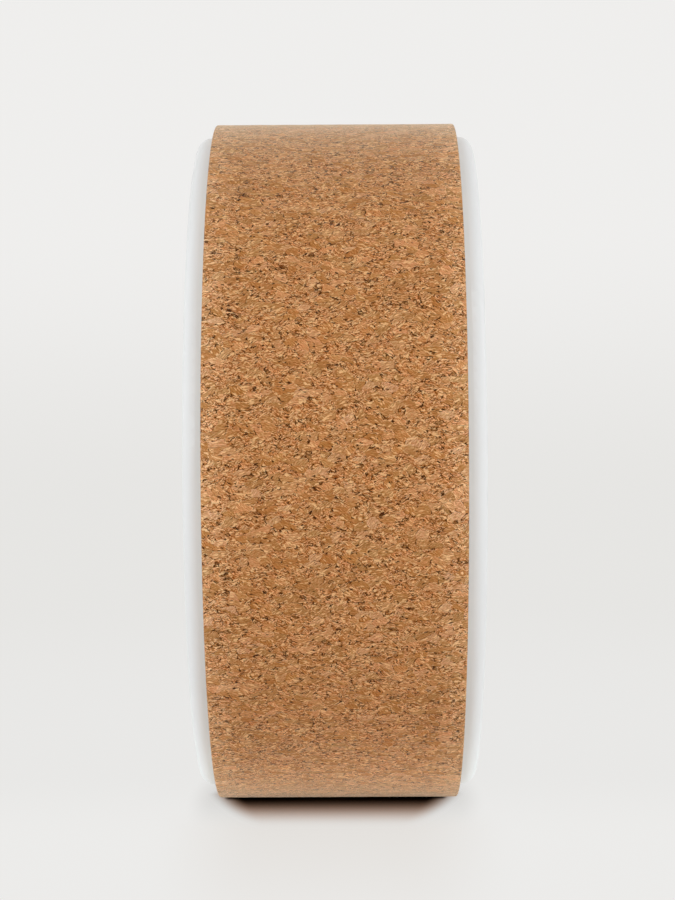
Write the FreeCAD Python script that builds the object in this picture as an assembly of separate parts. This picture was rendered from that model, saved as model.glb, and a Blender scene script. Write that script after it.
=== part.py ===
# Yoga wheel: a hollow hoop of two identical moulded halves, hooked and cemented together at mid-width,
# with a cork-faced foam tread wrapped round it and butted at one seam.
# Millimetres. The axle line is Y, Z is up and the origin is the wheel's centre.
# Looked at from +X, the right-hand half is on +Y. Angles turn about the axle, from +X towards +Z.

import FreeCAD, Part
import math
import os

from FreeCAD import Vector

# Overall sizes
WHEEL_DIAMETER = 325.0
WHEEL_WIDTH = 130.0

# Tread strip, from the cork face inwards
TREAD_WIDTH = 113.0
CORK_THICKNESS = 4.0
CORK_EDGE_RADIUS = 0.8
FILM_THICKNESS = 0.25
FOAM_THICKNESS = 3.25
TAPE_THICKNESS = 0.25

# Butt seam of the strip, filled with glue to just under the cork face
SEAM_GAP = 0.4
SEAM_ANGLE = 180.0
SEAM_GLUE_SETBACK = 0.2

# Hoop section, with a recess that keeps the tread in place sideways
HOOP_THICKNESS = 12.25
RECESS_DEPTH = 1.5
RECESS_SIDE_GAP = 0.2
WALL = 3.0
RIM_WALL = 4.0
RIM_OUTER_RADIUS = 6.0
RIM_INNER_RADIUS = 3.5
SHOULDER_EDGE_RADIUS = 0.2
JOINT_CHAMFER = 0.4

# Ribs between the hoop's two walls
RIB_THICKNESS = 2.0
RIB_SETBACK = 1.0

# Tongue and groove where the halves meet
TONGUE_THICKNESS = 1.2
TONGUE_HEIGHT = 1.6
TONGUE_ROOT = 0.5
TONGUE_CLEARANCE = 0.1
TONGUE_END_ANGLE = 0.5
CEMENT_THICKNESS = 0.4

# Snap hooks of each half, in the windows of the other
HOOK_COUNT = 6
POCKETS_FROM_HOOK_TO_WINDOW = 2
HOOK_WIDTH = 14.0
HOOK_ARM = 1.6
HOOK_ROOT_START = 6.0
HOOK_ROOT_LENGTH = 8.0
HOOK_ROOT = 0.5
HOOK_CLEARANCE = 0.3
CATCH_LAND = 5.0
BARB_LENGTH = 4.0
BARB_COVER = 1.2

# Radii that follow from the layers, from the cork face inwards
CORK_OUTER = WHEEL_DIAMETER / 2
CORK_INNER = CORK_OUTER - CORK_THICKNESS
FOAM_OUTER = CORK_INNER - FILM_THICKNESS
FOAM_INNER = FOAM_OUTER - FOAM_THICKNESS
RECESS_FLOOR = FOAM_INNER - TAPE_THICKNESS
SHOULDER = RECESS_FLOOR + RECESS_DEPTH
HOOP_INNER = SHOULDER - HOOP_THICKNESS
CAVITY_OUTER = RECESS_FLOOR - WALL
CAVITY_INNER = HOOP_INNER + WALL
WALL_MIDDLES = (RECESS_FLOOR - WALL / 2, HOOP_INNER + WALL / 2)

# Widths and angles that follow
HALF_WIDTH = WHEEL_WIDTH / 2
HALF_TREAD = TREAD_WIDTH / 2
CAVITY_DEPTH = HALF_WIDTH - RIM_WALL
GROOVE_HALF = TONGUE_THICKNESS / 2 + TONGUE_CLEARANCE
GROOVE_DEPTH = TONGUE_HEIGHT + CEMENT_THICKNESS
HOOK_PITCH = 360.0 / HOOK_COUNT
POCKET_PITCH = HOOK_PITCH / 2 / POCKETS_FROM_HOOK_TO_WINDOW
RIB_COUNT = 2 * HOOK_COUNT * POCKETS_FROM_HOOK_TO_WINDOW

# The second half is the first one turned over about a line across the joint face, at this angle.
# It puts the hooks of each half in the windows of the other, and the tongues in the grooves.
TURN_ANGLE = HOOK_PITCH / 4

ORIGIN = Vector(0, 0, 0)
AXLE = Vector(0, 1, 0)


def about_axle(shape, angle):
    """The shape turned about the axle, from +X towards +Z."""
    turned = shape.copy()
    turned.rotate(ORIGIN, AXLE, -angle)
    return turned


def turned_over(shape):
    """The shape as it lies in the other half of the hoop."""
    angle = math.radians(TURN_ANGLE)
    turned = shape.copy()
    turned.rotate(ORIGIN, Vector(math.cos(angle), 0, math.sin(angle)), 180)
    return turned


def corner_arc(centre, radius, first, last):
    """Three points of an arc in a section, between two angles in degrees."""
    angles = [math.radians(a) for a in (first, (first + last) / 2, last)]
    return [(centre[0] + radius * math.cos(a), centre[1] + radius * math.sin(a)) for a in angles]


def section(*steps):
    """A flat face through the axle. Each step is a (radius, width) corner, or the three points of an arc."""
    paths = [step if isinstance(step, list) else [step] for step in steps]
    edges = []
    for path, following in zip(paths, paths[1:] + paths[:1]):
        points = [Vector(*point, 0) for point in path]
        if len(points) == 3:
            edges.append(Part.Arc(*points).toShape())
        edges.append(Part.LineSegment(points[-1], Vector(*following[0], 0)).toShape())
    return Part.Face(Part.Wire(edges))


def ring(face, start=0.0, sweep=360.0):
    """The solid that a section sweeps about the axle, from the start angle on."""
    return about_axle(face.revolve(ORIGIN, AXLE, sweep), start + sweep)


def band(radii, widths, start=0.0, sweep=360.0):
    """A ring, or part of one, with a rectangular section."""
    (inner, outer), (low, high) = radii, widths
    return ring(section((inner, low), (outer, low), (outer, high), (inner, high)), start, sweep)


def slab(face, thickness):
    """A section made into a straight slab, centred on the plane through the axle at angle 0."""
    solid = face.extrude(Vector(0, 0, thickness))
    solid.translate(Vector(0, 0, -thickness / 2))
    return solid


def block(radii, widths, thickness):
    """A slab with a rectangular section."""
    (inner, outer), (low, high) = radii, widths
    return slab(section((inner, low), (outer, low), (outer, high), (inner, high)), thickness)


def half_turn(radii, widths, first_half, margin=0.0):
    """A band over one half of the joint face: the one with the tongues, or the one with the grooves."""
    start = TURN_ANGLE if first_half else TURN_ANGLE + 180
    return band(radii, widths, start + margin, 180 - 2 * margin)


def hoop_section():
    """Outside of one half's section, from the joint face to the rim and back along the inner face."""
    recess_half = HALF_TREAD + RECESS_SIDE_GAP
    edge_centre = (SHOULDER - SHOULDER_EDGE_RADIUS, recess_half + SHOULDER_EDGE_RADIUS)
    outer_centre = (SHOULDER - RIM_OUTER_RADIUS, HALF_WIDTH - RIM_OUTER_RADIUS)
    inner_centre = (HOOP_INNER + RIM_INNER_RADIUS, HALF_WIDTH - RIM_INNER_RADIUS)
    return section(
        (HOOP_INNER + JOINT_CHAMFER, 0),
        (RECESS_FLOOR, 0),
        (RECESS_FLOOR, recess_half),
        corner_arc(edge_centre, SHOULDER_EDGE_RADIUS, -90, 0),
        corner_arc(outer_centre, RIM_OUTER_RADIUS, 0, 90),
        corner_arc(inner_centre, RIM_INNER_RADIUS, 90, 180),
        (HOOP_INNER, JOINT_CHAMFER),
    )


def hollow():
    """The pockets between the walls and the ribs, open at the joint face."""
    radii = (CAVITY_INNER, CAVITY_OUTER)
    rib = block((HOOP_INNER, SHOULDER), (RIB_SETBACK, HALF_WIDTH), RIB_THICKNESS)
    ribs = [about_axle(rib, (n + 0.5) * POCKET_PITCH) for n in range(RIB_COUNT)]
    return band(radii, (0, CAVITY_DEPTH)).cut(ribs)


def hook():
    """One snap hook at angle 0: a root on the outer wall, a springy arm and a barb past the joint face."""
    arm_outer = CAVITY_OUTER - HOOK_CLEARANCE
    arm_inner = arm_outer - HOOK_ARM
    root_end = HOOK_ROOT_START + HOOK_ROOT_LENGTH
    catch = -CATCH_LAND - HOOK_CLEARANCE
    profile = section(
        (arm_inner, root_end),
        (arm_inner, catch - BARB_LENGTH),
        (arm_outer, catch - BARB_LENGTH),
        (RECESS_FLOOR - BARB_COVER, catch),
        (arm_outer, catch),
        (arm_outer, HOOK_ROOT_START),
        (CAVITY_OUTER + HOOK_ROOT, HOOK_ROOT_START),
        (CAVITY_OUTER + HOOK_ROOT, root_end),
    )
    return slab(profile, HOOK_WIDTH)


def window():
    """Cutter for one window at angle 0, in the outer wall, where the other half's barb catches."""
    far_edge = CATCH_LAND + BARB_LENGTH + 3 * HOOK_CLEARANCE
    radii = (CAVITY_OUTER - HOOK_CLEARANCE, SHOULDER)
    return block(radii, (CATCH_LAND, far_edge), HOOK_WIDTH + 2 * HOOK_CLEARANCE)


def hoop_half():
    """The moulding on the +Y side, with its ribs, windows, grooves, hooks and tongues."""
    cuts = [hollow()]
    additions = [about_axle(hook(), n * HOOK_PITCH) for n in range(HOOK_COUNT)]
    for n in range(HOOK_COUNT):
        cuts.append(about_axle(window(), (n + 0.5) * HOOK_PITCH))
    for middle in WALL_MIDDLES:
        groove = (middle - GROOVE_HALF, middle + GROOVE_HALF)
        tongue = (middle - TONGUE_THICKNESS / 2, middle + TONGUE_THICKNESS / 2)
        cuts.append(half_turn(groove, (-GROOVE_DEPTH, GROOVE_DEPTH), False))
        additions.append(half_turn(tongue, (-TONGUE_HEIGHT, TONGUE_ROOT), True, TONGUE_END_ANGLE))
    return ring(hoop_section()).cut(cuts).fuse(additions).removeSplitter()


def cement_beads():
    """Cured cement in the bottom of every groove, between it and the tongue's tip."""
    beads = []
    for middle in WALL_MIDDLES:
        groove = (middle - GROOVE_HALF, middle + GROOVE_HALF)
        bead = half_turn(groove, (TONGUE_HEIGHT, GROOVE_DEPTH), False, TONGUE_END_ANGLE)
        beads += [bead, turned_over(bead)]
    return Part.makeCompound(beads)


def seam_slot(radii):
    """The gap between the two ends of the tread strip, across the radii given."""
    return about_axle(block(radii, (-HALF_TREAD, HALF_TREAD), SEAM_GAP), SEAM_ANGLE)


def tread_layer(whole_ring):
    """A layer of the tread: a ring that is open at the seam."""
    return whole_ring.cut(seam_slot((HOOP_INNER, WHEEL_DIAMETER)))


def flat_layer(inner, outer):
    """A tread layer with square edges."""
    return tread_layer(band((inner, outer), (-HALF_TREAD, HALF_TREAD), SEAM_ANGLE))


def cork_layer():
    """The cork strip, with its two outer edges rounded."""
    crown = CORK_OUTER - CORK_EDGE_RADIUS
    flat = HALF_TREAD - CORK_EDGE_RADIUS
    face = section(
        (CORK_INNER, -HALF_TREAD),
        corner_arc((crown, -flat), CORK_EDGE_RADIUS, -90, 0),
        corner_arc((crown, flat), CORK_EDGE_RADIUS, 0, 90),
        (CORK_INNER, HALF_TREAD),
    )
    return tread_layer(ring(face, SEAM_ANGLE))


def seam_glue():
    """The glue line in the butt seam, just under the cork face."""
    filled = band((RECESS_FLOOR, CORK_OUTER - SEAM_GLUE_SETBACK), (-HALF_TREAD, HALF_TREAD))
    return filled.common(seam_slot((HOOP_INNER, WHEEL_DIAMETER)))


def main():
    right_half = hoop_half()
    nodes = {
        "right_hoop_half": right_half,
        "left_hoop_half": turned_over(right_half),
        "hoop_cement": cement_beads(),
        "tread_tape": flat_layer(RECESS_FLOOR, FOAM_INNER),
        "foam_underlay": flat_layer(FOAM_INNER, FOAM_OUTER),
        "laminate_film": flat_layer(FOAM_OUTER, CORK_INNER),
        "cork_tread": cork_layer(),
        "tread_seam_glue": seam_glue(),
    }
    os.makedirs("parts", exist_ok=True)
    for name, shape in nodes.items():
        shape.exportStep("parts/" + name + ".step")


main()
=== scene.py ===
"""Dresses the yoga wheel: pressed cork tread, foam underlay, white plastic hoop, and a plain studio."""

import math

import bmesh
import bpy
from bpy.props import FloatProperty, FloatVectorProperty, IntProperty, PointerProperty
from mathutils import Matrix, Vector, noise


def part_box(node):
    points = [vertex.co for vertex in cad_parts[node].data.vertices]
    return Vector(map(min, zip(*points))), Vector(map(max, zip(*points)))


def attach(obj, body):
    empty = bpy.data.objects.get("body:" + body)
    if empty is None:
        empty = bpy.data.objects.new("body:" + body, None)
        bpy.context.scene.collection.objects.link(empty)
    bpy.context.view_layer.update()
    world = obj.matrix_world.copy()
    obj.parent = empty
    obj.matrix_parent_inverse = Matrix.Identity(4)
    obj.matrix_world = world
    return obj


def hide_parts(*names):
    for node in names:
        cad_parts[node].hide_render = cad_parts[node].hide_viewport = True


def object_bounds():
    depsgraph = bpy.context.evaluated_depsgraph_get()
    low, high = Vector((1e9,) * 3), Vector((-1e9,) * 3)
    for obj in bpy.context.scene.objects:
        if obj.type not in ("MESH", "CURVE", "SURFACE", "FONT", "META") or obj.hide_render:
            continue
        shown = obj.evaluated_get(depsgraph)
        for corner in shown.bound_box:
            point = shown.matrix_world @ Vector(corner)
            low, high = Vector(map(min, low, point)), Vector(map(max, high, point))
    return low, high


bl_info = {
    "name": "Cork yoga wheel",
    "version": (1, 0, 0),
    "blender": (4, 5, 0),
    "location": "3D View > Sidebar > Yoga wheel",
    "description": "Makes the cork tread and foam underlay of a yoga wheel, and dresses its hoop",
    "category": "Add Mesh",
}

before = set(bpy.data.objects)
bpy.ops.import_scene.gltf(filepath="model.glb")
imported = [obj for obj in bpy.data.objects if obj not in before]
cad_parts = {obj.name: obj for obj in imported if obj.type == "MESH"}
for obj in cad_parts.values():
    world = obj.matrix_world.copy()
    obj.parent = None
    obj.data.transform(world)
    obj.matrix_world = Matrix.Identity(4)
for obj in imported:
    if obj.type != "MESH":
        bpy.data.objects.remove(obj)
CAD_BOX = [list(corner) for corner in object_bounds()]

MILLIMETRE = 0.001
TOUCH = 0.01 * MILLIMETRE
CENTRE = Vector((0, 0, 0))
FLOOR_LEVEL = CAD_BOX[0][2]
SEAM_ANGLE = math.pi
SHARP_ANGLE = math.radians(40)
WHITE = (1.0, 1.0, 1.0)
BLACK = (0.0, 0.0, 0.0)
MIDDLE = 0.5

# Hollows of the cork face: how far their noise is raised, and its fall-off, spread and octaves
HOLLOW_GAIN = 1.4
HOLLOW_NOISE = (1.0, 2.0, 2)

# Rows of cuts that let the foam's edges swell
BULGE_CUTS = 7

# Noise that bends the cork granules: its scale per millimetre, and its reach in millimetres
GRANULE_DRIFTS = ((0.09, 3.6), (0.9, 0.8), (3.0, 0.2))

# Smaller granules: their size as a share of a flake, and how many cells their pattern is slid along
CHIP_SIZE = 0.42
CHIP_SLIDE = 13.7
CRUMB_SIZE = 0.16
CRUMB_SLIDE = 41.3
SLIVER_SIZE = 0.15
SLIVER_SLIDE = 77.1
SLIVER_STRETCH = 3.4

# The most that slivers, grain and the lit side of a granule lean, in radians
SLIVER_LEAN = 0.7
GRAIN_LEAN = 0.8
LIT_LEAN = 1.3

# Noise scales per millimetre: the grain along and across the tread, and the worn patches
GRAIN_SCALE = (2.6, 0.6, 1.0)
WEAR_SCALE = 0.42

# Step over the grain between the two places whose difference shows its ridges
RIDGE_STEP = (1.0, 0.0, 0.0)

# Where a granule's random number begins to make it a special one, and where it fully does
CHIPPED = (0.44, 0.45)
CRUMBLED = (0.62, 0.63)
HUSKY = (0.96, 0.965)
BLUSHING = (0.6, 0.9)
SLIVERED = (0.885, 0.905)
BARKED = (0.965, 0.98)

# How much wear adds to the number that makes a sliver bark
BARK_WEAR = 0.3

# A length in millimetres that is longer than any way to a granule's edge
PAST_EDGES = 9.0

# Rims of the granules, in millimetres from their edges, and the wear and the side at which they show. Painted
# light makes some rims paler on their lit side, and painted shade darkens the other side, where the cracks
# show too.
PAINTED_RIM = (0.32, 0.08)
PAINTED_RIM_WEAR = (0.4, 0.56)
LIT_SIDE = (-0.15, 0.15)
CRACKED_RIM = (0.2, 0.07)
CRACKED_WEAR = (0.5, 0.58)
CRACKED_SHADED_SIDE = (0.1, -0.1)
DOMED_RIM = (0.0, 0.3)

# How strongly each pattern shades the cork. Pairs are for whole flakes and for chips.
DARKEST_TONE = 0.22
FLAKE_CONTRAST = (0.35, 0.18)
GRAIN_CONTRAST = (0.62, 0.92)
RIDGE_CONTRAST = (1.2, 2.4)
CRUMB_CONTRAST = 0.75
# Painted light and shade on granule rims: how much they lighten the lit side and darken the other side
RIM_LIGHT_CONTRAST = 0.3
SLIVER_COVER = 0.68
BARK_COVER = 0.97

# Tints that the granules take on by their random numbers
REDDISH = (1.05, 0.9, 0.72)
GREENISH = (0.9, 1.015, 0.98)
ROSY = (1.06, 0.935, 0.965)
HUSK_TINT = (0.62, 0.65, 0.64)
BLUSH_TINT = (1.04, 1.0, 1.12)

# Fine relief and roughness of the cork
CORK_RELIEF = 0.18 * MILLIMETRE
DOME_HEIGHT = 0.6
TONE_HEIGHT = 0.25
GRAIN_HEIGHT = 0.4
BARK_DEPTH = 0.5
CORK_ROUGHNESS = 0.72
GRAIN_ROUGHNESS = 0.2

# Foam: scales per metre, the painted shade in its cell hollows, how much its cells and clouds show, relief
# and roughness
FOAM_CELLS = 2600.0
FOAM_CLOUDS = 60.0
FOAM_HOLLOW_SHADE = 0.72
FOAM_CELL_SHARE = 0.8
FOAM_CLOUD_SHARE = 0.3
FOAM_RELIEF = 0.12 * MILLIMETRE
FOAM_ROUGHNESS = 0.85
FOAM_ROUGHNESS_SPREAD = 0.1

# Plastic: scales per metre, the tone of its duller patches, how far its gloss changes, and its relief
PLASTIC_RIPPLE = 160.0
PLASTIC_CLOUDS = 14.0
PLASTIC_DULL_TONE = 0.965
PLASTIC_GLOSS_SPREAD = 0.14
RIPPLE_RELIEF = 0.006 * MILLIMETRE

# Tape, film, cement and glue: scales per metre, rim and depth of a bubble, cloudy tone, and finish
BOND_CLOUDS = 120.0
BOND_BUBBLES = 900.0
BUBBLE_RIM = (0.22, 0.12)
BUBBLE_DEPTH = 0.5
BOND_CLOUD_TONE = 0.7
BOND_ROUGHNESS_SPREAD = 0.2
BOND_RELIEF = 0.05 * MILLIMETRE

# Floor shadow: its narrowing away from the foot, its shares of light, and where each shade starts and ends
SHADOW_NARROWING = 0.16
DEEPEST_SHADE = 0.1
DEEP_SHADE = (8 * MILLIMETRE, 50 * MILLIMETRE)
TOUCH_SHADE = 0.8
WARM_SHADE = (15 * MILLIMETRE, 100 * MILLIMETRE)

# Floor round the wheel: the painted shadow that darkens it behind the wheel, and where it changes to the
# front and to the far floor
BEHIND_SHADE = 0.968
BEHIND_TO_FRONT = (-80 * MILLIMETRE, 140 * MILLIMETRE)
NEAR_TO_FAR = (0.3, 1.6)

# Soft shades on the floor: the distances from the foot at which they start and end, inset, fade and tint
BOUNCE_START = (40 * MILLIMETRE, 120 * MILLIMETRE)
BOUNCE_REACH = (450 * MILLIMETRE, 60 * MILLIMETRE)
BOUNCE_INSET = 30 * MILLIMETRE
BOUNCE_FADE = 8.0
SOFT_REACH = (130 * MILLIMETRE, 20 * MILLIMETRE)
SOFT_INSET = 16.8 * MILLIMETRE
SOFT_FADE = 4.0
SOFT_TINT = (0.93, 0.93, 0.925)
CLOSE_REACH = (120 * MILLIMETRE, 0.0)
CLOSE_INSET = 0.0
CLOSE_FADE = 7.5
CLOSE_TINT = (0.86, 0.855, 0.85)

# Paper: fibres per metre, and how even its colour is
PAPER_FIBRES = 900.0
PAPER_EVENNESS = 0.9

# Backdrop: the heights of the view between which it lightens
HORIZON = (-0.02, 0.1)

# Lamps: how far ahead of the axle, off to the side and up they are, and their two sizes
SIDE_LAMP = (0.9, 1.25)
SIDE_LAMP_SIZE = (1.4, 1.8)
RIM_LAMP = (-0.35, 1.2)
RIM_LAMP_SIZE = (0.1, 1.8)
TOP_LAMP = (0.3, 0.0, 1.9)
TOP_LAMP_SIZE = (1.5, 1.5)
FLOOR_LAMP_OFF = 0.125
FLOOR_LAMP_SIZE = (0.2, 0.25)
FOOT_LAMP_AHEAD = 0.085
FOOT_LAMP_SIZE = (0.08, 0.1)

# Long side of the camera's sensor, in millimetres
SENSOR = 36.0


def outer_radius(node):
    """Outer radius of a round node about the axle."""
    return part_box(node)[1].z


def half_width(node):
    """Half of a node's width along the axle."""
    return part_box(node)[1].y


def seam_gap():
    """Width of the butt joint of the tread, which the glue fills."""
    low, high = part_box("tread_seam_glue")
    return high.z - low.z


class CorkSettings(bpy.types.PropertyGroup):
    """Sizes and colours of the cork tread."""

    edge_radius: FloatProperty(
        name="Edge radius", description="Rounding of the tread's two outer edges",
        default=0.8 * MILLIMETRE, min=0, unit="LENGTH")
    relief: FloatProperty(
        name="Relief", description="Depth of the hollows in the cork face",
        default=0.1 * MILLIMETRE, min=0, unit="LENGTH")
    flake: FloatProperty(
        name="Flake", description="Size of a cork flake along the tread",
        default=3.0 * MILLIMETRE, min=0.1 * MILLIMETRE, unit="LENGTH")
    stretch: FloatProperty(
        name="Stretch", description="How much longer a flake is across the tread than along it",
        default=1.7, min=0.1)
    around: IntProperty(
        name="Steps around", description="Divisions of the tread round the wheel", default=600, min=32)
    across: IntProperty(
        name="Steps across", description="Divisions of the tread across its width", default=64, min=4)
    pale: FloatVectorProperty(
        name="Pale cork", description="Colour of the palest flakes",
        default=(0.8, 0.48, 0.24), min=0, max=1, subtype="COLOR")
    tan: FloatVectorProperty(
        name="Tan cork", description="Colour of most flakes",
        default=(0.497, 0.22, 0.075), min=0, max=1, subtype="COLOR")
    brown: FloatVectorProperty(
        name="Brown cork", description="Colour of the darker flakes",
        default=(0.23, 0.073, 0.0104), min=0, max=1, subtype="COLOR")
    sliver: FloatVectorProperty(
        name="Slivers", description="Colour of the thin pale slivers between the granules",
        default=(0.94, 0.585, 0.275), min=0, max=1, subtype="COLOR")
    bark: FloatVectorProperty(
        name="Bark", description="Colour of the specks of bark and the cracks",
        default=(0.058, 0.015, 0.002), min=0, max=1, subtype="COLOR")
    # Painted light: how many times lighter the tread's two edges are made, as if the side light fell on them
    # more
    sidelit: FloatVectorProperty(
        name="Sidelit cork", description="How many times lighter the rubbed edges of the tread are",
        default=(1.18, 1.3, 1.5), min=0, max=2, subtype="COLOR")
    sidelit_start: FloatProperty(
        name="Sidelight start", description="Distance from mid-width at which the rubbed edges start",
        default=40 * MILLIMETRE, min=0, unit="LENGTH")
    sidelit_end: FloatProperty(
        name="Sidelight end", description="Distance from mid-width at which the edges are rubbed most",
        default=58 * MILLIMETRE, min=0, unit="LENGTH")


class FoamSettings(bpy.types.PropertyGroup):
    """Sizes and colours of the foam underlay."""

    bulge: FloatProperty(
        name="Bulge", description="How far the foam's edges swell out under the cork",
        default=0.15 * MILLIMETRE, min=0, unit="LENGTH")
    around: IntProperty(
        name="Steps around", description="Divisions of the foam round the wheel", default=360, min=32)
    colour: FloatVectorProperty(
        name="Foam", description="Colour of the foam",
        default=(0.56, 0.52, 0.45), min=0, max=1, subtype="COLOR")


class HoopSettings(bpy.types.PropertyGroup):
    """Finish of the plastic hoop."""

    colour: FloatVectorProperty(
        name="Plastic", description="Colour of the moulded plastic",
        default=(0.87, 0.884, 0.883), min=0, max=1, subtype="COLOR")
    roughness: FloatProperty(
        name="Roughness", description="Roughness of the moulded surface", default=0.46, min=0, max=1)


class BondSettings(bpy.types.PropertyGroup):
    """Colours of what holds the pieces together."""

    tape: FloatVectorProperty(
        name="Tape", description="Colour of the tape under the foam",
        default=(0.75, 0.74, 0.70), min=0, max=1, subtype="COLOR")
    film: FloatVectorProperty(
        name="Film", description="Colour of the film between the foam and the cork",
        default=(0.50, 0.36, 0.20), min=0, max=1, subtype="COLOR")
    cement: FloatVectorProperty(
        name="Cement", description="Colour of the cement between the hoop halves",
        default=(0.72, 0.70, 0.62), min=0, max=1, subtype="COLOR")
    glue: FloatVectorProperty(
        name="Glue", description="Colour of the glue in the tread's seam",
        default=(0.10, 0.045, 0.018), min=0, max=1, subtype="COLOR")


class StudioSettings(bpy.types.PropertyGroup):
    """Camera, light and backdrop."""

    distance: FloatProperty(
        name="Camera distance", description="Camera's distance from the axle", default=1.1676, unit="LENGTH")
    side: FloatProperty(
        name="Camera side", description="Camera's offset along the axle", default=0.00714, unit="LENGTH")
    pitch: FloatProperty(
        name="Pitch", description="Camera's turn upwards", default=0.0044, unit="ROTATION")
    roll: FloatProperty(
        name="Roll", description="Camera's turn about its own line of sight", default=0.0052, unit="ROTATION")
    yaw: FloatProperty(
        name="Yaw", description="Camera's turn sideways", default=0.0059, unit="ROTATION")
    lens: FloatProperty(
        name="Lens", description="Focal length in millimetres", default=95.72, min=1)
    paper: FloatVectorProperty(
        name="Paper", description="Colour of the floor",
        default=(0.9, 0.9, 0.9), min=0, max=1, subtype="COLOR")
    backdrop: FloatVectorProperty(
        name="Backdrop", description="Colour of the background overhead",
        default=(0.864, 0.857, 0.845), min=0, max=1, subtype="COLOR")
    near_backdrop: FloatVectorProperty(
        name="Near backdrop", description="Colour of the floor round the wheel",
        default=(0.84, 0.834, 0.82), min=0, max=1, subtype="COLOR")
    low_backdrop: FloatVectorProperty(
        name="Low backdrop", description="Colour of the background and the far floor, low down",
        default=(0.795, 0.788, 0.77), min=0, max=1, subtype="COLOR")
    floor_radius: FloatProperty(
        name="Floor radius", description="Radius of the round floor", default=4.0, unit="LENGTH")
    shadow_near: FloatProperty(
        name="Shadow near", description="Distance from the foot up to which the floor is plain paper",
        default=20 * MILLIMETRE, unit="LENGTH")
    shadow_far: FloatProperty(
        name="Shadow far", description="Distance from the foot at which the floor has become the backdrop",
        default=113 * MILLIMETRE, unit="LENGTH")
    shadow_inset: FloatProperty(
        name="Shadow inset", description="How far inside the tread's edges the shadow starts to fade",
        default=10.7 * MILLIMETRE, unit="LENGTH")
    shadow_shift: FloatProperty(
        name="Shadow shift", description="How far the shadow lies to the left of mid-width",
        default=1.5 * MILLIMETRE, unit="LENGTH")
    shadow_fade: FloatProperty(
        name="Shadow fade", description="How much faster the shadow fades to the sides than to the front",
        default=6.5, min=1)
    shadow_tint: FloatVectorProperty(
        name="Shadow tint", description="Tint of the shadow where the cork meets the floor",
        default=(1.0, 0.58, 0.36), min=0, max=1, subtype="COLOR")
    # The contact line is a painted shadow where the tread meets the floor
    touch_inset: FloatProperty(
        name="Contact inset", description="How far inside the tread's edges the contact line starts to fade",
        default=5.5 * MILLIMETRE, unit="LENGTH")
    touch_near: FloatProperty(
        name="Contact core", description="Distance from the foot up to which the contact line is darkest",
        default=11 * MILLIMETRE, unit="LENGTH")
    touch_far: FloatProperty(
        name="Contact end", description="Distance from the foot at which the contact line has faded out",
        default=24 * MILLIMETRE, unit="LENGTH")
    contact: FloatProperty(
        name="Contact", description="Height under the tread within which the floor is darkest",
        default=30 * MILLIMETRE, unit="LENGTH")
    bounce: FloatVectorProperty(
        name="Bounce", description="Tint that the cork throws on the floor in front of it",
        default=(0.925, 0.9, 0.878), min=0, max=1, subtype="COLOR")
    sky: FloatProperty(
        name="Sky", description="Strength of the even light from all round", default=0.5, min=0)
    side_power: FloatProperty(
        name="Side lamps", description="Power of each of the two side lamps",
        default=13.3, min=0, subtype="POWER")
    rim_power: FloatProperty(
        name="Rim lamps", description="Power of each of the two slim lamps beside the wheel",
        default=1.7, min=0, subtype="POWER")
    top_power: FloatProperty(
        name="Top lamp", description="Power of the lamp overhead",
        default=3.5, min=0, subtype="POWER")
    foot_power: FloatProperty(
        name="Foot lamp", description="Power of the small light table at the foot of the tread",
        default=0.0055, min=0, subtype="POWER")
    floor_power: FloatProperty(
        name="Floor lamps", description="Power of each of the two light tables under the wheel",
        default=0.033, min=0, subtype="POWER")
    floor_light: FloatVectorProperty(
        name="Floor light", description="Colour of the light tables under the wheel",
        default=(0.86, 1.0, 1.0), min=0, max=1, subtype="COLOR")


class Wire:
    """A shader socket that takes part in arithmetic: each operator adds one Math node."""

    def __init__(self, graph, socket):
        self.graph = graph
        self.socket = socket

    def __add__(self, other):
        return self.graph.maths("ADD", self, other)

    def __sub__(self, other):
        return self.graph.maths("SUBTRACT", self, other)

    def __rsub__(self, other):
        return self.graph.maths("SUBTRACT", other, self)

    def __mul__(self, other):
        return self.graph.maths("MULTIPLY", self, other)

    def __abs__(self):
        return self.graph.maths("ABSOLUTE", self, 0.0)

    __radd__ = __add__
    __rmul__ = __mul__


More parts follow.
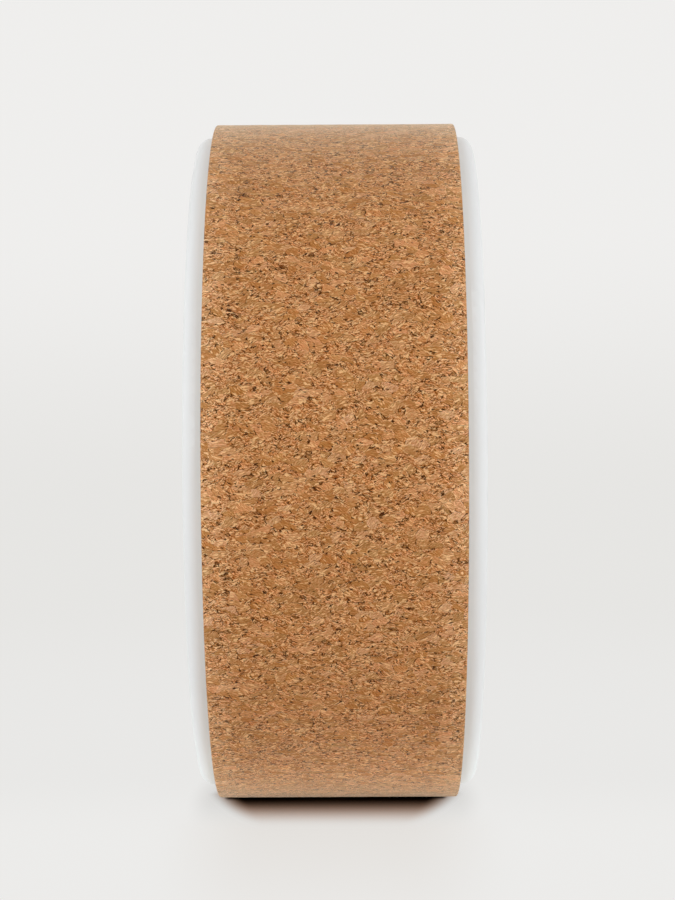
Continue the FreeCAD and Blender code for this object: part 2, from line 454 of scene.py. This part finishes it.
class Graph:
    """A node tree that is built up from nothing."""

    def __init__(self, owner):
        self.owner = owner
        owner.use_nodes = True
        self.tree = owner.node_tree
        self.tree.nodes.clear()

    def node(self, kind, settings, inputs, output=0):
        """Adds a node, with its settings set first and then the values or links of its sockets."""
        made = self.tree.nodes.new(kind)
        for name, value in settings.items():
            if name == "stops":
                self.set_stops(made.color_ramp, value)
            else:
                setattr(made, name, value)
        for name, value in inputs.items():
            if isinstance(value, Wire):
                self.tree.links.new(value.socket, made.inputs[name])
            else:
                made.inputs[name].default_value = value
        return Wire(self, made.outputs[output]) if made.outputs else made

    def set_stops(self, ramp, stops):
        """Gives a colour ramp its stops, each a place and a colour."""
        while len(ramp.elements) < len(stops):
            ramp.elements.new(1.0)
        for element, (place, colour) in zip(ramp.elements, stops):
            element.position = place
            element.color = (*colour, 1.0)

    def maths(self, operation, first, second):
        """A Math node on two values."""
        return self.node("ShaderNodeMath", {"operation": operation}, {0: first, 1: second})

    def vector(self, operation, first, second):
        """A Vector Math node on two vectors."""
        return self.node("ShaderNodeVectorMath", {"operation": operation}, {0: first, 1: second})

    def length(self, vector):
        """The length of a vector."""
        return self.node("ShaderNodeVectorMath", {"operation": "LENGTH"}, {0: vector}, "Value")

    def step(self, value, low, high):
        """A smooth rise from 0 at low to 1 at high. With low above high it falls instead."""
        settings = {"interpolation_type": "SMOOTHSTEP"}
        return self.node("ShaderNodeMapRange", settings, {0: value, 1: low, 2: high, 3: 0.0, 4: 1.0})

    def mix(self, factor, first, second, blend="MIX"):
        """A mix of two colours."""
        settings = {"data_type": "RGBA", "blend_type": blend}
        colours = {name: self.colour(value) for name, value in ((6, first), (7, second))}
        return self.node("ShaderNodeMix", settings, {0: factor, **colours}, 2)

    def tint(self, factor, colour, tint):
        """A colour that takes on a tint by that factor."""
        return self.mix(factor, colour, self.mix(1.0, colour, tint, "MULTIPLY"))

    def colour(self, value):
        """A colour with its alpha, or a link as it is."""
        return value if isinstance(value, Wire) else (*value, 1.0)

    def noise(self, place, scale, detail=2.0, dimensions="3D", output=0):
        """A noise texture, from 0 to 1."""
        settings = {"noise_dimensions": dimensions}
        inputs = {"Vector": place, "Scale": scale, "Detail": detail}
        return self.node("ShaderNodeTexNoise", settings, inputs, output)

    def drift(self, place, scale, reach):
        """A place pushed about by noise of that scale, by up to about a quarter of the reach."""
        push = self.noise(place, scale, 1.0, "2D", "Color")
        centred = self.vector("SUBTRACT", push, (MIDDLE, MIDDLE, MIDDLE))
        return self.vector("ADD", place, self.vector("MULTIPLY", centred, (reach, reach, 0.0)))

    def lean(self, place, chance, most):
        """A place turned about the third axis by a random angle, of up to the most either way."""
        settings = {"rotation_type": "Z_AXIS"}
        inputs = {"Vector": place, "Angle": chance * (2 * most) - most}
        return self.node("ShaderNodeVectorRotate", settings, inputs)

    def cells(self, place, feature, output):
        """A flat pattern of cells, about one for each unit square."""
        settings = {"voronoi_dimensions": "2D", "feature": feature}
        return self.node("ShaderNodeTexVoronoi", settings, {"Vector": place, "Scale": 1.0}, output)

    def bubbles(self, place, scale):
        """The way to the middle of the nearest bubble, of so many to the metre."""
        return self.node("ShaderNodeTexVoronoi", {}, {"Vector": place, "Scale": scale})

    def object_place(self):
        """The point on the piece, in metres."""
        return self.node("ShaderNodeTexCoord", {}, {}, "Object")

    def channels(self, colour):
        """The three channels of a colour or a vector."""
        made = self.node("ShaderNodeSeparateXYZ", {}, {0: colour})
        return [Wire(self, socket) for socket in made.socket.node.outputs]

    def bump(self, height, distance, strength):
        """A normal bent by a height, whose unit is the distance in metres."""
        inputs = {"Height": height, "Distance": distance, "Strength": strength}
        return self.node("ShaderNodeBump", {}, inputs)

    def principled(self, **sockets):
        """A Principled shader with these sockets."""
        names = {name.replace("_", " ").title(): value for name, value in sockets.items()}
        names = {name.replace("Ior", "IOR"): value for name, value in names.items()}
        return self.node("ShaderNodeBsdfPrincipled", {}, names)

    def mix_shader(self, factor, first, second):
        """A mix of two shaders."""
        return self.node("ShaderNodeMixShader", {}, {0: factor, 1: first, 2: second})

    def seen(self):
        """1 for what the camera sees, straight or in gloss or glass, and 0 for light on the object."""
        rays = self.node("ShaderNodeLightPath", {}, {}).socket.node.outputs
        kinds = ("Is Camera Ray", "Is Glossy Ray", "Is Transmission Ray")
        straight, gloss, glass = (Wire(self, rays[kind]) for kind in kinds)
        return self.maths("MAXIMUM", straight, self.maths("MAXIMUM", gloss, glass))

    def finish(self, shader, output="ShaderNodeOutputMaterial"):
        """Ends the tree in this shader."""
        self.node(output, {}, {"Surface": shader})
        return self.owner


def new_material(name):
    """The empty tree of a new material."""
    return Graph(bpy.data.materials.new(name))


def dimmed(colour, share):
    """A colour at a share of its brightness."""
    return tuple(channel * share for channel in colour)


class Granules:
    """Cork granules of one size in millimetres, with three random numbers for each of them."""

    def __init__(self, graph, spot, size, stretch, slide=0.0):
        sizes = (1 / size, 1 / (size * stretch), 1.0)
        self.graph = graph
        self.size = size
        self.cells = graph.vector("ADD", graph.vector("MULTIPLY", spot, sizes), (slide, slide, 0.0))
        self.found = graph.cells(self.cells, "F1", "Color")
        self.tone, self.split, self.hue = graph.channels(self.found)

    def edge(self):
        """The way to the granule's edge, in millimetres."""
        return self.graph.cells(self.cells, "DISTANCE_TO_EDGE", "Distance") * self.size

    def inward(self):
        """The way to the granule's centre, in cells."""
        centre = Wire(self.graph, self.found.socket.node.outputs["Position"])
        return self.graph.vector("SUBTRACT", centre, self.cells)


class CorkPattern:
    """Pressed cork: flakes, chips and crumbs drawn out across the tread, with slivers, grain, wear, and
    painted light and shade on some granule rims.
    """

    def __init__(self, graph, cork, place):
        flake = cork.flake / MILLIMETRE
        bent = place
        for scale, reach in GRANULE_DRIFTS:
            bent = graph.drift(bent, scale, reach)
        flakes = Granules(graph, bent, flake, cork.stretch)
        chips = Granules(graph, bent, flake * CHIP_SIZE, cork.stretch, CHIP_SLIDE)
        self.crumbs = Granules(graph, bent, flake * CRUMB_SIZE, cork.stretch, CRUMB_SLIDE)
        slid = graph.lean(bent, flakes.hue, SLIVER_LEAN)
        self.slivers = Granules(graph, slid, flake * SLIVER_SIZE, SLIVER_STRETCH, SLIVER_SLIDE)

        self.split = flakes.split
        self.chipped = graph.step(flakes.split, *CHIPPED)
        self.crumbled = graph.step(chips.split, *CRUMBLED) * self.chipped
        self.tone = flakes.tone + (chips.tone - flakes.tone) * self.chipped
        self.hue = flakes.hue + (chips.hue - flakes.hue) * self.chipped
        self.husk = graph.step(self.hue, *HUSKY) * self.chipped
        chip_edge = chips.edge() + (1 - self.chipped) * PAST_EDGES
        self.edge = graph.maths("MINIMUM", flakes.edge(), chip_edge)

        turned = graph.lean(bent, self.hue, GRAIN_LEAN)
        turned = graph.vector("MULTIPLY", turned, GRAIN_SCALE)
        beside = graph.vector("ADD", turned, RIDGE_STEP)
        self.grain = graph.noise(turned, 1.0, dimensions="2D")
        self.ridge = graph.noise(beside, 1.0, dimensions="2D") - self.grain
        worn = graph.noise(bent, WEAR_SCALE, dimensions="2D")

        inward = graph.mix(self.chipped, flakes.inward(), chips.inward())
        side = graph.channels(graph.lean(inward, self.hue, LIT_LEAN))[0]
        # Painted light and shade: on some granule rims the side towards the light is made paler and the other
        # side darker
        painted_rims = graph.step(self.edge, *PAINTED_RIM) * graph.step(worn, *PAINTED_RIM_WEAR)
        self.lift = painted_rims * (graph.step(side, *LIT_SIDE) * 2 - 1)
        # Cracks at the granule edges show only on the side away from the painted light, so they are partly
        # painted shade
        shaded_side_breaks = graph.step(worn, *CRACKED_WEAR) * graph.step(side, *CRACKED_SHADED_SIDE)
        self.cracks = graph.step(self.edge, *CRACKED_RIM) * graph.maths("MAXIMUM", shaded_side_breaks, self.husk)
        self.bark = graph.step(self.slivers.split + (worn - MIDDLE) * BARK_WEAR, *BARKED)


def cork_colour(graph, cork, pattern):
    """The colour of the cork, from dark bark to pale slivers."""

    def strength(whole, chip):
        """A strength for whole flakes, and another for chips."""
        return whole + pattern.chipped * (chip - whole)

    tone = graph.maths("MAXIMUM", pattern.tone, DARKEST_TONE)
    shade = MIDDLE + (tone - MIDDLE) * strength(*FLAKE_CONTRAST)
    shade = shade + (pattern.crumbs.tone - MIDDLE) * pattern.crumbled * CRUMB_CONTRAST
    shade = shade + (pattern.grain - MIDDLE) * strength(*GRAIN_CONTRAST)
    shade = shade + pattern.ridge * strength(*RIDGE_CONTRAST)
    shade = shade + pattern.lift * RIM_LIGHT_CONTRAST
    stops = ((0.0, cork.brown), (MIDDLE, cork.tan), (1.0, cork.pale))
    colour = graph.node("ShaderNodeValToRGB", {"stops": stops}, {0: shade})

    blush = graph.step(pattern.tone, *BLUSHING) * (1 - pattern.chipped)
    colour = graph.tint(pattern.hue, colour, REDDISH)
    colour = graph.tint(pattern.crumbs.hue, colour, GREENISH)
    colour = graph.tint(pattern.split, colour, ROSY)
    colour = graph.tint(pattern.husk, colour, HUSK_TINT)
    colour = graph.tint(blush, colour, BLUSH_TINT)

    slivers = graph.step(pattern.slivers.tone, *SLIVERED)
    dark = graph.maths("MAXIMUM", pattern.cracks, pattern.bark)
    colour = graph.mix(slivers * SLIVER_COVER, colour, cork.sliver)
    return graph.mix(dark * BARK_COVER, colour, cork.bark)


def cork_material(cork):
    """Pressed cork, with a fine relief, and painted light that makes the tread's two edges lighter and paler.
    """
    graph = new_material("pressed_cork")
    place = graph.node("ShaderNodeUVMap", {"uv_map": "tread"}, {})
    pattern = CorkPattern(graph, cork, place)
    # Painted light: the tread's two edges are lightened between the start and end distances off mid-width
    off_middle = abs(graph.channels(place)[1])
    sidelit = graph.step(off_middle, cork.sidelit_start / MILLIMETRE, cork.sidelit_end / MILLIMETRE)
    height = graph.step(pattern.edge, *DOMED_RIM) * DOME_HEIGHT + pattern.tone * TONE_HEIGHT
    height = height + pattern.grain * GRAIN_HEIGHT - pattern.bark * BARK_DEPTH
    shader = graph.principled(
        base_color=graph.tint(sidelit, cork_colour(graph, cork, pattern), cork.sidelit),
        roughness=CORK_ROUGHNESS + pattern.grain * GRAIN_ROUGHNESS,
        normal=graph.bump(height, CORK_RELIEF, strength=0.7),
        sheen_weight=0.85, sheen_roughness=0.33, sheen_tint=(1.0, 0.87, 0.68, 1.0),
        specular_ior_level=0.08)
    return graph.finish(shader)


def foam_material(foam):
    """Closed-cell foam: tiny cells, each with painted shade darkening its hollow middle, and cloudy tone."""
    graph = new_material("foam_underlay")
    place = graph.object_place()
    cells = graph.bubbles(place, FOAM_CELLS)
    clouds = graph.noise(place, FOAM_CLOUDS, detail=3.0)
    # Painted shade: each cell is darker towards its middle, where the bump makes it hollow; the clouds add
    # random tone
    raised = cells * FOAM_CELL_SHARE + clouds * FOAM_CLOUD_SHARE
    shader = graph.principled(
        base_color=graph.mix(raised, dimmed(foam.colour, FOAM_HOLLOW_SHADE), foam.colour),
        roughness=FOAM_ROUGHNESS + clouds * FOAM_ROUGHNESS_SPREAD,
        normal=graph.bump(cells, FOAM_RELIEF, strength=0.6),
        specular_ior_level=0.3)
    return graph.finish(shader)


def plastic_material(hoop):
    """Moulded gloss plastic: a faint ripple, and slight changes of gloss from handling."""
    graph = new_material("moulded_plastic")
    place = graph.object_place()
    ripple = graph.noise(place, PLASTIC_RIPPLE)
    clouds = graph.noise(place, PLASTIC_CLOUDS, detail=4.0)
    shader = graph.principled(
        base_color=graph.mix(clouds, dimmed(hoop.colour, PLASTIC_DULL_TONE), hoop.colour),
        roughness=hoop.roughness + (clouds - MIDDLE) * PLASTIC_GLOSS_SPREAD,
        normal=graph.bump(ripple, RIPPLE_RELIEF, strength=0.12),
        coat_roughness=0.2, coat_weight=0.45, specular_ior_level=0.35)
    return graph.finish(shader)


def bond_material(name, colour, roughness):
    """Adhesive film, tape, cement or dried glue: cloudy, with small bubbles."""
    graph = new_material(name)
    place = graph.object_place()
    clouds = graph.noise(place, BOND_CLOUDS, detail=4.0)
    bubbles = graph.step(graph.bubbles(place, BOND_BUBBLES), *BUBBLE_RIM)
    shader = graph.principled(
        base_color=graph.mix(clouds, dimmed(colour, BOND_CLOUD_TONE), colour),
        roughness=roughness + clouds * BOND_ROUGHNESS_SPREAD,
        normal=graph.bump(clouds - bubbles * BUBBLE_DEPTH, BOND_RELIEF, strength=0.5))
    return graph.finish(shader)


def paper_material(studio):
    """Floor paper: near its foot, paper with the wheel's shadow painted into its colour, and the even
    backdrop further off; light on the object comes from plain paper.
    """
    graph = new_material("studio_paper")
    place = graph.object_place()
    along, across, _ = graph.channels(place)

    def from_foot(inset, fade=studio.shadow_fade, narrowing=0.0):
        """Distance from the line where the tread meets the floor, which grows faster past its ends."""
        inside = half_width("cork_tread") - inset - abs(along) * narrowing
        past = graph.maths("MAXIMUM", abs(across + studio.shadow_shift) - inside, 0.0) * fade
        return graph.length(graph.node("ShaderNodeCombineXYZ", {}, {0: along, 1: past}))

    distance = from_foot(studio.shadow_inset, narrowing=SHADOW_NARROWING)
    # Painted shadow: the contact line is a dark line painted along the foot of the tread
    touch = graph.step(from_foot(studio.touch_inset), studio.touch_far, studio.touch_near)
    even = graph.step(distance, studio.shadow_near, studio.shadow_far) * (1 - touch)
    warm = graph.mix(graph.step(distance, *WARM_SHADE), studio.shadow_tint, WHITE)

    # Painted shadow: ambient occlusion, deepened near the foot and along the contact line, darkens the
    # paper's colour
    open_air = graph.node("ShaderNodeAmbientOcclusion", {"samples": 8}, {"Distance": studio.contact}, "AO")
    open_air = open_air * (DEEPEST_SHADE + graph.step(distance, *DEEP_SHADE) * (1 - DEEPEST_SHADE))
    open_air = open_air * (1 - touch * TOUCH_SHADE)
    shaded = graph.mix(1.0, graph.mix(open_air, BLACK, studio.paper), warm, "MULTIPLY")
    shaded = graph.principled(base_color=shaded, roughness=0.9, specular_ior_level=0.1)

    # Painted shadow: the floor is darker behind the wheel than in front of it
    behind = dimmed(studio.near_backdrop, BEHIND_SHADE)
    near = graph.mix(graph.step(along, *BEHIND_TO_FRONT), behind, studio.near_backdrop)
    backdrop = graph.mix(graph.step(graph.length(place), *NEAR_TO_FAR), near, studio.low_backdrop)
    bounce = graph.step(from_foot(BOUNCE_INSET, BOUNCE_FADE), *BOUNCE_REACH)
    backdrop = graph.tint(graph.step(along, *BOUNCE_START) * bounce, backdrop, studio.bounce)
    soft = graph.step(from_foot(SOFT_INSET, SOFT_FADE), *SOFT_REACH)
    backdrop = graph.tint(soft, backdrop, SOFT_TINT)
    close = graph.step(from_foot(CLOSE_INSET, CLOSE_FADE), *CLOSE_REACH)
    backdrop = graph.tint(close, backdrop, CLOSE_TINT)
    backdrop = graph.mix(1.0, backdrop, warm, "MULTIPLY")
    backdrop = graph.node("ShaderNodeEmission", {}, {"Color": backdrop, "Strength": 1.0})

    fibres = graph.mix(graph.noise(place, PAPER_FIBRES), studio.paper, WHITE)
    plain = graph.mix(PAPER_EVENNESS, fibres, studio.paper)
    plain = graph.principled(base_color=plain, roughness=0.9, specular_ior_level=0.1)
    pictured = graph.mix_shader(even, shaded, backdrop)
    return graph.finish(graph.mix_shader(graph.seen(), plain, pictured))


def dress(node, material):
    """Gives a CAD node a new material in every slot."""
    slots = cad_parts[node].data.materials
    if len(slots) == 0:
        slots.append(material)
    for index in range(len(slots)):
        slots[index] = material


def add_piece(name, bm, material, node):
    """Turns a finished bmesh into a piece that stands for a CAD node."""
    mesh = bpy.data.meshes.new(name)
    bm.to_mesh(mesh)
    bm.free()
    mesh.materials.append(material)
    mesh.polygons.foreach_set("use_smooth", [True] * len(mesh.polygons))
    mesh.set_sharp_from_angle(angle=SHARP_ANGLE)
    piece = bpy.data.objects.new(name, mesh)
    bpy.context.scene.collection.objects.link(piece)
    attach(piece, "root")
    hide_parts(node)
    return piece


def flat_strip(length, half, thickness):
    """A flat strip as it is cut: x along it, y across it, z up from its bonded face."""
    bm = bmesh.new()
    bmesh.ops.create_cube(bm, size=1.0)
    bmesh.ops.translate(bm, verts=bm.verts, vec=(0.5, 0, 0.5))
    bmesh.ops.scale(bm, verts=bm.verts, vec=(length, 2 * half, thickness))
    return bm


def edge_span(edge):
    """How far an edge of a flat strip runs along, across and up."""
    return [abs(way) for way in edge.verts[0].co - edge.verts[1].co]


def edges_along(bm, length):
    """The edges that run the whole length of a flat strip."""
    return [edge for edge in bm.edges if edge_span(edge)[0] > length / 2]


def is_on_top(edge, thickness):
    """Whether an edge of a flat strip lies in its upper face."""
    return all(vert.co.z > thickness - TOUCH for vert in edge.verts)


def lay_out(bm, thickness, half):
    """Maps a flat strip in millimetres: along it, and across it, on over its sides."""
    layer = bm.loops.layers.uv.new("tread")
    for face in bm.faces:
        for loop in face.loops:
            point = loop.vert.co
            side = math.copysign(thickness - point.z, point.y) if abs(point.y) > half - MILLIMETRE else 0
            loop[layer].uv = (point.x / MILLIMETRE, (point.y + side) / MILLIMETRE)


def bend_round(bm, inner, length, gap):
    """Bends a flat strip round the axle, open by the gap at the seam."""
    thickness = max(vert.co.z for vert in bm.verts)
    opening = gap / (inner + thickness)
    for vert in bm.verts:
        angle = SEAM_ANGLE + opening / 2 + (2 * math.pi - opening) * vert.co.x / length
        radius = inner + vert.co.z
        vert.co = (radius * math.cos(angle), vert.co.y, -radius * math.sin(angle))
    bmesh.ops.recalc_face_normals(bm, faces=bm.faces)


def cork_hollow(point, cork):
    """How far the cork face sinks at a point of the flat strip, from 0 to 1."""
    place = Vector((point.x, point.y / cork.stretch, 0)) / (2 * cork.flake)
    wave = HOLLOW_GAIN * noise.fractal(place, *HOLLOW_NOISE)
    return 0.5 + 0.5 * max(-1, min(1, wave))


class WHEEL_OT_cork_tread(bpy.types.Operator):
    """Make the cork tread from a flat strip, with its uneven face, and bend it round"""

    bl_idname = "yoga_wheel.cork_tread"
    bl_label = "Make cork tread"

    def execute(self, context):
        cork = context.scene.yoga_wheel_cork
        outer = outer_radius("cork_tread")
        inner = outer_radius("laminate_film")
        half = half_width("cork_tread")
        thickness = outer - inner
        length = 2 * math.pi * outer
        bm = flat_strip(length, half, thickness)
        rims = [edge for edge in edges_along(bm, length) if is_on_top(edge, thickness)]
        bmesh.ops.bevel(
            bm, geom=rims, offset=cork.edge_radius, segments=3, profile=0.5, affect="EDGES", material=-1)
        across = [edge for edge in bm.edges if is_on_top(edge, thickness) and edge_span(edge)[0] < TOUCH]
        bmesh.ops.subdivide_edges(bm, edges=across, cuts=cork.across - 1)
        bmesh.ops.subdivide_edges(bm, edges=edges_along(bm, length), cuts=cork.around - 1)
        lay_out(bm, thickness, half)
        for vert in bm.verts:
            if vert.co.z > thickness - cork.edge_radius:
                vert.co.z -= cork.relief * cork_hollow(vert.co, cork)
        bend_round(bm, inner, length, seam_gap())
        add_piece("cork_tread_strip", bm, cork_material(cork), "cork_tread")
        return {"FINISHED"}


class WHEEL_OT_foam_underlay(bpy.types.Operator):
    """Make the foam underlay, with its edges swollen under the cork"""

    bl_idname = "yoga_wheel.foam_underlay"
    bl_label = "Make foam underlay"

    def execute(self, context):
        foam = context.scene.yoga_wheel_foam
        outer = outer_radius("foam_underlay")
        inner = outer_radius("tread_tape")
        half = half_width("foam_underlay")
        thickness = outer - inner
        length = 2 * math.pi * outer
        bm = flat_strip(length, half, thickness)
        upright = [edge for edge in bm.edges if edge_span(edge)[2] > TOUCH]
        bmesh.ops.subdivide_edges(bm, edges=upright, cuts=BULGE_CUTS)
        for vert in bm.verts:
            swell = math.sin(math.pi * vert.co.z / thickness)
            vert.co.y += math.copysign(foam.bulge * swell, vert.co.y)
        bmesh.ops.subdivide_edges(bm, edges=edges_along(bm, length), cuts=foam.around - 1)
        bend_round(bm, inner, length, seam_gap())
        piece = add_piece("foam_underlay_strip", bm, foam_material(foam), "foam_underlay")
        return {"FINISHED"}


class WHEEL_OT_hoop(bpy.types.Operator):
    """Give the two hoop halves their moulded plastic"""

    bl_idname = "yoga_wheel.hoop"
    bl_label = "Dress hoop"

    def execute(self, context):
        plastic = plastic_material(context.scene.yoga_wheel_hoop)
        dress("right_hoop_half", plastic)
        dress("left_hoop_half", plastic)
        return {"FINISHED"}


class WHEEL_OT_bonds(bpy.types.Operator):
    """Give the tape, film, cement and seam glue their own finishes"""

    bl_idname = "yoga_wheel.bonds"
    bl_label = "Dress bonds"

    def execute(self, context):
        bonds = context.scene.yoga_wheel_bonds
        dress("tread_tape", bond_material("adhesive_tape", bonds.tape, roughness=0.35))
        dress("laminate_film", bond_material("laminate_film", bonds.film, roughness=0.4))
        dress("hoop_cement", bond_material("cured_cement", bonds.cement, roughness=0.2))
        dress("tread_seam_glue", bond_material("seam_glue", bonds.glue, roughness=0.5))
        return {"FINISHED"}


class WHEEL_OT_studio(bpy.types.Operator):
    """Set up the floor, the backdrop, the lights and the camera"""

    bl_idname = "yoga_wheel.studio"
    bl_label = "Set up studio"

    def execute(self, context):
        studio = context.scene.yoga_wheel_studio
        self.floor(context, studio)
        self.sky(context, studio)
        self.lamp_pair(context, "lamp", SIDE_LAMP, SIDE_LAMP_SIZE, studio.side_power, gloss=False)
        self.lamp_pair(context, "rim_lamp", RIM_LAMP, RIM_LAMP_SIZE, studio.rim_power)
        self.lamp(context, "top_lamp", TOP_LAMP, CENTRE, TOP_LAMP_SIZE, studio.top_power)
        self.light_tables(context, studio)
        self.camera(context, studio)
        context.scene.view_settings.view_transform = "Standard"
        return {"FINISHED"}

    def floor(self, context, studio):
        """A wide round floor, level with the foot of the tread."""
        bm = bmesh.new()
        bmesh.ops.create_circle(bm, cap_ends=True, radius=studio.floor_radius, segments=96)
        bmesh.ops.translate(bm, verts=bm.verts, vec=(0, 0, FLOOR_LEVEL))
        mesh = bpy.data.meshes.new("floor")
        bm.to_mesh(mesh)
        bm.free()
        mesh.materials.append(paper_material(studio))
        floor = bpy.data.objects.new("floor", mesh)
        context.scene.collection.objects.link(floor)

    def sky(self, context, studio):
        """Even light from all round, seen as the backdrop."""
        graph = Graph(bpy.data.worlds.new("studio_sky"))
        light = graph.node("ShaderNodeBackground", {}, {"Color": (*WHITE, 1.0), "Strength": studio.sky})
        height = graph.channels(graph.node("ShaderNodeTexCoord", {}, {}, "Generated"))[2]
        backdrop = graph.mix(graph.step(height, *HORIZON), studio.low_backdrop, studio.backdrop)
        backdrop = graph.node("ShaderNodeBackground", {}, {"Color": backdrop, "Strength": 1.0})
        shader = graph.mix_shader(graph.seen(), light, backdrop)
        context.scene.world = graph.finish(shader, "ShaderNodeOutputWorld")

    def lamp(self, context, name, place, aim, size, power, gloss=True, colour=WHITE):
        """A soft lamp that faces the aim and stays out of the picture, and out of the gloss if asked."""
        light = bpy.data.lights.new(name, "AREA")
        light.shape = "RECTANGLE"
        light.size, light.size_y = size
        light.energy = power
        light.color = colour
        lamp = bpy.data.objects.new(name, light)
        lamp.location = place
        lamp.rotation_euler = (aim - Vector(place)).to_track_quat("-Z", "Y").to_euler()
        lamp.visible_camera = False
        lamp.visible_glossy = gloss
        context.scene.collection.objects.link(lamp)

    def lamp_pair(self, context, name, place, size, power, gloss=True):
        """Two like lamps at the height of the axle, to the left and the right of the wheel."""
        ahead, off = place
        self.lamp(context, f"left_{name}", (ahead, -off, 0), CENTRE, size, power, gloss)
        self.lamp(context, f"right_{name}", (ahead, off, 0), CENTRE, size, power, gloss)

    def light_tables(self, context, studio):
        """Small lamps on the floor that shine up, a hair off plumb so that their turn is settled."""
        tables = (
            ("left_floor_lamp", 0, -FLOOR_LAMP_OFF, FLOOR_LAMP_SIZE, studio.floor_power),
            ("right_floor_lamp", 0, FLOOR_LAMP_OFF, FLOOR_LAMP_SIZE, studio.floor_power),
            ("foot_lamp", FOOT_LAMP_AHEAD, 0, FOOT_LAMP_SIZE, studio.foot_power))
        for name, ahead, off, size, power in tables:
            place = (ahead, off, FLOOR_LEVEL + MILLIMETRE)
            aim = Vector((ahead, off + MILLIMETRE, 1))
            self.lamp(context, name, place, aim, size, power, colour=studio.floor_light)

    def camera(self, context, studio):
        """The camera, square on to the tread at the height of the axle."""
        data = bpy.data.cameras.new("camera")
        data.lens = studio.lens
        data.sensor_width = SENSOR
        camera = bpy.data.objects.new("camera", data)
        camera.location = (studio.distance, studio.side, 0)
        camera.rotation_euler = (math.pi / 2 + studio.pitch, studio.roll, math.pi / 2 + studio.yaw)
        context.scene.collection.objects.link(camera)
        context.scene.camera = camera


class VIEW3D_PT_yoga_wheel(bpy.types.Panel):
    """Lists the settings of the wheel and the steps that dress it"""

    bl_idname = "VIEW3D_PT_yoga_wheel"
    bl_label = "Yoga wheel"
    bl_space_type = "VIEW_3D"
    bl_region_type = "UI"
    bl_category = "Yoga wheel"

    def draw(self, context):
        for group in SETTINGS:
            settings = getattr(context.scene, group)
            for name in settings.__annotations__:
                self.layout.prop(settings, name)
        for operator in OPERATORS:
            self.layout.operator(operator.bl_idname)


OPERATORS = (WHEEL_OT_cork_tread, WHEEL_OT_foam_underlay, WHEEL_OT_hoop, WHEEL_OT_bonds, WHEEL_OT_studio)
SETTINGS = {
    "yoga_wheel_cork": CorkSettings,
    "yoga_wheel_foam": FoamSettings,
    "yoga_wheel_hoop": HoopSettings,
    "yoga_wheel_bonds": BondSettings,
    "yoga_wheel_studio": StudioSettings,
}


def register():
    for group in (*SETTINGS.values(), *OPERATORS, VIEW3D_PT_yoga_wheel):
        bpy.utils.register_class(group)
    for name, group in SETTINGS.items():
        setattr(bpy.types.Scene, name, PointerProperty(type=group))


def unregister():
    for name in SETTINGS:
        delattr(bpy.types.Scene, name)
    for group in (VIEW3D_PT_yoga_wheel, *OPERATORS, *SETTINGS.values()):
        bpy.utils.unregister_class(group)


def main():
    register()
    bpy.ops.yoga_wheel.cork_tread()
    bpy.ops.yoga_wheel.foam_underlay()
    bpy.ops.yoga_wheel.hoop()
    bpy.ops.yoga_wheel.bonds()
    bpy.ops.yoga_wheel.studio()


if __name__ == "__main__":
    main()
